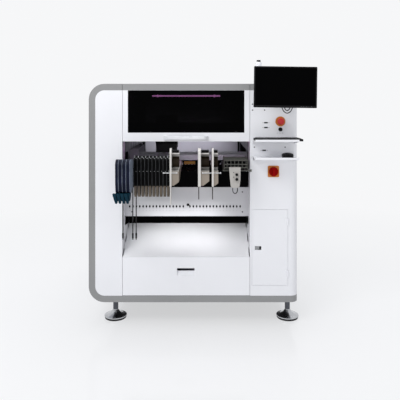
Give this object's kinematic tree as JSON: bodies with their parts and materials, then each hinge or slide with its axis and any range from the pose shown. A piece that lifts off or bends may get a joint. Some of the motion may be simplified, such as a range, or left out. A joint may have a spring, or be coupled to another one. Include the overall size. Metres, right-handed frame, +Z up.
{
  "type": "pick and place machine",
  "caption": "Floor-standing pick and place machine: white case with a grey edge, hinged dark-window hood, front feeder bank, tape chute and drawer, control cabinet, screen on an arm.",
  "frame": {"origin": "centre of the whole machine's box, on the floor under the feet", "axes": "+X to the machine's right as its user sees it, +Y to the back, +Z up; the front faces -Y"},
  "size_m": [1.3245, 1.708, 1.6363],
  "materials": {
    "black_anodised": "satin",
    "black_plastic": "matte",
    "bronze_plastic": "satin",
    "cast": "matte",
    "chrome": "polished",
    "computer_grey": "matte",
    "cord_black": "satin",
    "frame_black": "satin",
    "grey_paint": "satin",
    "handle_white": "satin",
    "light_grey_paint": "satin",
    "light_pink": "gloss",
    "navy_plastic": "satin",
    "pale_metal": "satin",
    "rail_aluminium": "satin",
    "red_plastic": "gloss",
    "rubber": "matte",
    "screen_glass": "gloss",
    "steel": "satin",
    "switch_orange": "gloss",
    "tan_plastic": "matte",
    "teal_plastic": "satin",
    "white_paint": "satin",
    "window_glass": "gloss"
  },
  "bodies": {
    "root": {"base_frame": "frame_black", "levelling_feet": "chrome", "foot_pads": "rubber", "grey_bands": "grey_paint", "left_panel": "white_paint", "right_cabinet": "white_paint", "side_skins": "white_paint", "roof_panel": "white_paint", "rear_panel": "light_grey_paint", "bay_walls": "white_paint", "hole_panel": "light_grey_paint", "chute": "white_paint", "machine_bed": "cast", "feeder_bank": "black_anodised", "gantry_rails": "steel", "upward_cameras": "black_plastic", "nozzle_rack": "steel", "fixed_rail": "rail_aluminium", "entry_tunnels": "light_grey_paint", "control_computer": "computer_grey", "switch_plates": "switch_orange", "trays": "white_paint", "keyboard": "black_plastic", "arm_plate": "black_anodised", "signal_tower": "white_paint", "navy_feeders": "navy_plastic", "navy_handles": "teal_plastic", "black_feeders": "black_plastic", "feeder_grips": "tan_plastic", "wide_feeders": "pale_metal", "feeder_drives": "bronze_plastic", "stick_feeder": "steel", "control_box": "pale_metal", "box_cable": "cord_black", "air_hoses": "cord_black", "hose_fittings": "black_plastic"},
    "hood": {"front_hood": "white_paint", "front_window": "window_glass", "hood_handle": "handle_white", "light_bar": "light_pink"},
    "drawer": {"front_drawer": "white_paint"},
    "cabinet_door": {"cabinet_door": "white_paint"},
    "lock": {"door_lock": "steel"},
    "rear_door": {"rear_door": "light_grey_paint"},
    "stop": {"stop_button": "red_plastic"},
    "key": {"key_switch": "black_plastic"},
    "main_switch": {"main_knob": "red_plastic"},
    "arm": {"monitor_arm": "black_anodised"},
    "screen": {"monitor": "black_plastic", "monitor_screen": "screen_glass", "monitor_cables": "cord_black"},
    "gantry": {"gantry_beam": "black_anodised"},
    "head": {"placement_head": "black_plastic"},
    "nozzle_1": {"nozzle_1": "steel"},
    "nozzle_2": {"nozzle_2": "steel"},
    "nozzle_3": {"nozzle_3": "steel"},
    "nozzle_4": {"nozzle_4": "steel"},
    "rail": {"moving_rail": "rail_aluminium"},
    "width_screw": {"width_screw": "steel"},
    "mouse": {"mouse": "black_plastic"}
  },
  "joints": [
    {"name": "hood_hinge", "type": "hinge", "parent": "root", "child": "hood", "pos_m": [-0.07429, -0.026, 1.452], "axis": [-1, 0, 0], "range_deg": [0, 62]},
    {"name": "drawer_slide", "type": "slide", "parent": "root", "child": "drawer", "axis": [0, -1, 0], "range_m": [0, 0.35]},
    {"name": "door_hinge", "type": "hinge", "parent": "root", "child": "cabinet_door", "pos_m": [0.54021, -0.5503, 0.428], "axis": [0, 0, 1], "range_deg": [0, 110]},
    {"name": "lock_turn", "type": "hinge", "parent": "cabinet_door", "child": "lock", "pos_m": [0.35571, -0.546, 0.472], "axis": [0, 1, 0], "range_deg": [0, 90]},
    {"name": "rear_door_hinge", "type": "hinge", "parent": "root", "child": "rear_door", "pos_m": [-0.42329, 0.8403, 0.428], "axis": [0, 0, 1], "range_deg": [0, 100]},
    {"name": "stop_press", "type": "slide", "parent": "root", "child": "stop", "axis": [0, 1, 0], "range_m": [0, 0.006], "stiffness_N_per_m": 300},
    {"name": "key_turn", "type": "hinge", "parent": "root", "child": "key", "pos_m": [0.49471, -0.546, 1.189], "axis": [0, 1, 0], "range_deg": [0, 90]},
    {"name": "switch_turn", "type": "hinge", "parent": "root", "child": "main_switch", "pos_m": [0.45271, -0.546, 0.935], "axis": [0, 1, 0], "range_deg": [0, 90]},
    {"name": "arm_swivel", "type": "hinge", "parent": "root", "child": "arm", "pos_m": [0.48571, -0.592, 1.38], "axis": [0, 0, 1], "range_deg": [-20, 20]},
    {"name": "screen_tilt", "type": "hinge", "parent": "arm", "child": "screen", "pos_m": [0.48571, -0.758, 1.38], "axis": [1, 0, 0], "range_deg": [-12, 15]},
    {"name": "gantry_travel", "type": "slide", "parent": "root", "child": "gantry", "axis": [0, 1, 0], "range_m": [-0.185, 0.56]},
    {"name": "head_travel", "type": "slide", "parent": "gantry", "child": "head", "axis": [1, 0, 0], "range_m": [-0.1, 0.36]},
    {"name": "nozzle_1_drop", "type": "slide", "parent": "head", "child": "nozzle_1", "axis": [0, 0, 1], "range_m": [-0.018, 0], "stiffness_N_per_m": 110, "springref_m": 0.02},
    {"name": "nozzle_2_drop", "type": "slide", "parent": "head", "child": "nozzle_2", "axis": [0, 0, 1], "range_m": [-0.018, 0], "stiffness_N_per_m": 110, "springref_m": 0.02},
    {"name": "nozzle_3_drop", "type": "slide", "parent": "head", "child": "nozzle_3", "axis": [0, 0, 1], "range_m": [-0.018, 0], "stiffness_N_per_m": 110, "springref_m": 0.02},
    {"name": "nozzle_4_drop", "type": "slide", "parent": "head", "child": "nozzle_4", "axis": [0, 0, 1], "range_m": [-0.018, 0], "stiffness_N_per_m": 110, "springref_m": 0.02},
    {"name": "screw_turn", "type": "hinge", "parent": "root", "child": "width_screw", "pos_m": [-0.33229, 0.054, 0.913], "axis": [0, 1, 0], "range_deg": [-3600, 900]},
    {"name": "rail_travel", "type": "slide", "parent": "root", "child": "rail", "axis": [0, 1, 0], "range_m": [-0.2, 0.05]},
    {"name": "mouse_slide", "type": "slide", "parent": "root", "child": "mouse", "axis": [1, 0, 0], "range_m": [-0.06, 0.01]}
  ],
  "couplings": [
    {"joint": "screw_turn", "follows": "rail_travel", "rad_per_m": 314.16}
  ]
}
